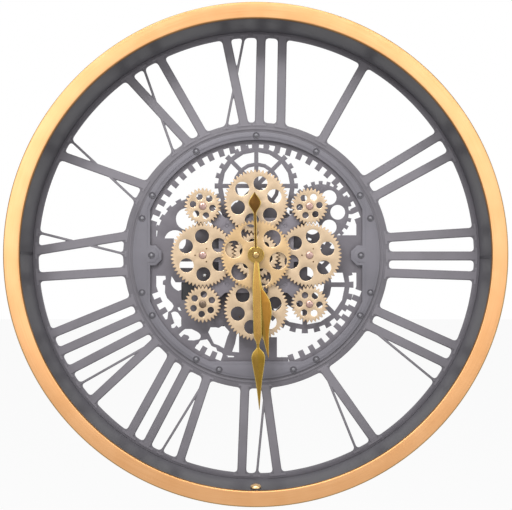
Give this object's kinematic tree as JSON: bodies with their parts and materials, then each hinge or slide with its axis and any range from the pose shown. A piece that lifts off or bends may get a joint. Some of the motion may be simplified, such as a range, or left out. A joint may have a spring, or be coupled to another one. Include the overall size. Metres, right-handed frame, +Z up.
{
  "type": "gear wall clock",
  "caption": "Round skeleton wall clock with a deep gold rim, Roman numeral spokes, turning gold gears and spade hands.",
  "frame": {"origin": "on the axis of the hands, on the back of the movement, in the plane of the wall", "axes": "+Y from the dial into the wall, so the dial faces -Y; +Z up towards the numeral twelve"},
  "size_m": [0.6, 0.07, 0.6],
  "materials": {
    "rim_gold": "brushed gold-coloured plating on sheet metal",
    "gear_gold": "satin pale gold plating",
    "hand_gold": "satin dark gold plating",
    "dark_grey": "satin dark grey paint",
    "liner_grey": "satin dark grey paint",
    "plate_grey": "satin grey paint",
    "rivet_grey": "satin dark grey paint",
    "steel": "bare steel",
    "brass": "bare brass",
    "black_plastic": "fine moulded texture",
    "cover_plastic": "fine moulded texture",
    "knob_plastic": "fine moulded texture",
    "cell_finish": "printed metal sleeve, no lettering"
  },
  "bodies": {
    "case": {"outer_hoop": "rim_gold", "liner_screw": "rim_gold", "inner_liner": "liner_grey", "dial_plate": "dark_grey", "centre_band": "dark_grey", "rivet_01": "rivet_grey", "rivet_02": "rivet_grey", "rivet_03": "rivet_grey", "rivet_04": "rivet_grey", "rivet_05": "rivet_grey", "rivet_06": "rivet_grey", "rivet_07": "rivet_grey", "rivet_08": "rivet_grey", "rivet_09": "rivet_grey", "rivet_10": "rivet_grey", "rivet_11": "rivet_grey", "rivet_12": "rivet_grey", "rivet_13": "rivet_grey", "rivet_14": "rivet_grey", "rivet_15": "rivet_grey", "rivet_16": "rivet_grey", "rivet_17": "rivet_grey", "back_plate": "plate_grey", "gear_plate": "plate_grey", "wall_hanger": "steel", "gear_plate_post_1": "steel", "gear_plate_post_2": "steel", "gear_plate_post_3": "steel", "gear_plate_post_4": "steel", "large_gear_pin_right": "steel", "large_gear_pin_top": "steel", "large_gear_pin_left": "steel", "large_gear_pin_bottom": "steel", "small_gear_pin_upper_right": "steel", "small_gear_pin_lower_right": "steel", "small_gear_pin_upper_left": "steel", "centre_bush": "brass", "movement_case": "black_plastic", "drive_case": "black_plastic", "movement_cover": "cover_plastic", "drive_cover": "cover_plastic", "movement_cell": "cell_finish", "drive_cell": "cell_finish"},
    "centre_gear": {"centre_gear": "gear_gold", "centre_pinion": "gear_gold"},
    "minute_hand": {"minute_hand": "hand_gold", "hand_nut": "hand_gold", "minute_shaft": "steel"},
    "hour_hand": {"hour_hand": "hand_gold", "hour_tube": "brass"},
    "setting_knob": {"setting_knob": "knob_plastic"},
    "large_gear_right": {"large_gear_right": "gear_gold"},
    "large_gear_top": {"large_gear_top": "gear_gold"},
    "large_gear_left": {"large_gear_left": "gear_gold"},
    "large_gear_bottom": {"large_gear_bottom": "gear_gold"},
    "small_gear_upper_right": {"small_gear_upper_right": "gear_gold"},
    "small_gear_lower_right": {"small_gear_lower_right": "gear_gold"},
    "small_gear_upper_left": {"small_gear_upper_left": "gear_gold"},
    "small_gear_lower_left": {"small_gear_lower_left": "gear_gold", "drive_arbor": "steel"}
  },
  "joints": [
    {"name": "centre_gear_turn", "type": "hinge", "parent": "case", "child": "centre_gear", "pos_m": [0, -0.03, 0], "axis": [0, 1, 0], "continuous": true},
    {"name": "large_gear_right_turn", "type": "hinge", "parent": "case", "child": "large_gear_right", "pos_m": [0.06545, -0.03, 0], "axis": [0, 1, 0], "continuous": true},
    {"name": "large_gear_top_turn", "type": "hinge", "parent": "case", "child": "large_gear_top", "pos_m": [0, -0.03, 0.06545], "axis": [0, 1, 0], "continuous": true},
    {"name": "large_gear_left_turn", "type": "hinge", "parent": "case", "child": "large_gear_left", "pos_m": [-0.06545, -0.03, 0], "axis": [0, 1, 0], "continuous": true},
    {"name": "large_gear_bottom_turn", "type": "hinge", "parent": "case", "child": "large_gear_bottom", "pos_m": [0, -0.03, -0.06545], "axis": [0, 1, 0], "continuous": true},
    {"name": "small_gear_upper_right_turn", "type": "hinge", "parent": "case", "child": "small_gear_upper_right", "pos_m": [0.06545, -0.03, 0.06006], "axis": [0, 1, 0], "continuous": true},
    {"name": "small_gear_lower_right_turn", "type": "hinge", "parent": "case", "child": "small_gear_lower_right", "pos_m": [0.06545, -0.03, -0.06006], "axis": [0, 1, 0], "continuous": true},
    {"name": "small_gear_upper_left_turn", "type": "hinge", "parent": "case", "child": "small_gear_upper_left", "pos_m": [-0.06545, -0.03, 0.06006], "axis": [0, 1, 0], "continuous": true},
    {"name": "small_gear_lower_left_turn", "type": "hinge", "parent": "case", "child": "small_gear_lower_left", "pos_m": [-0.06545, -0.03, -0.06006], "axis": [0, 1, 0], "continuous": true},
    {"name": "minute_hand_turn", "type": "hinge", "parent": "case", "child": "minute_hand", "pos_m": [0, -0.03, 0], "axis": [0, 1, 0], "continuous": true},
    {"name": "hour_hand_turn", "type": "hinge", "parent": "case", "child": "hour_hand", "pos_m": [0, -0.03, 0], "axis": [0, 1, 0], "continuous": true},
    {"name": "setting_knob_turn", "type": "hinge", "parent": "case", "child": "setting_knob", "pos_m": [-0.014, -0.03, 0.012], "axis": [0, 1, 0], "continuous": true}
  ],
  "couplings": [
    {"joint": "large_gear_right_turn", "follows": "centre_gear_turn", "ratio": -0.7},
    {"joint": "large_gear_top_turn", "follows": "centre_gear_turn", "ratio": -0.7},
    {"joint": "large_gear_left_turn", "follows": "centre_gear_turn", "ratio": -0.7},
    {"joint": "large_gear_bottom_turn", "follows": "centre_gear_turn", "ratio": -0.7},
    {"joint": "small_gear_upper_right_turn", "follows": "centre_gear_turn", "ratio": 1.25},
    {"joint": "small_gear_lower_right_turn", "follows": "centre_gear_turn", "ratio": 1.25},
    {"joint": "small_gear_upper_left_turn", "follows": "centre_gear_turn", "ratio": 1.25},
    {"joint": "small_gear_lower_left_turn", "follows": "centre_gear_turn", "ratio": 1.25},
    {"joint": "hour_hand_turn", "follows": "minute_hand_turn", "ratio": 0.083333},
    {"joint": "setting_knob_turn", "follows": "minute_hand_turn", "ratio": 1}
  ]
}
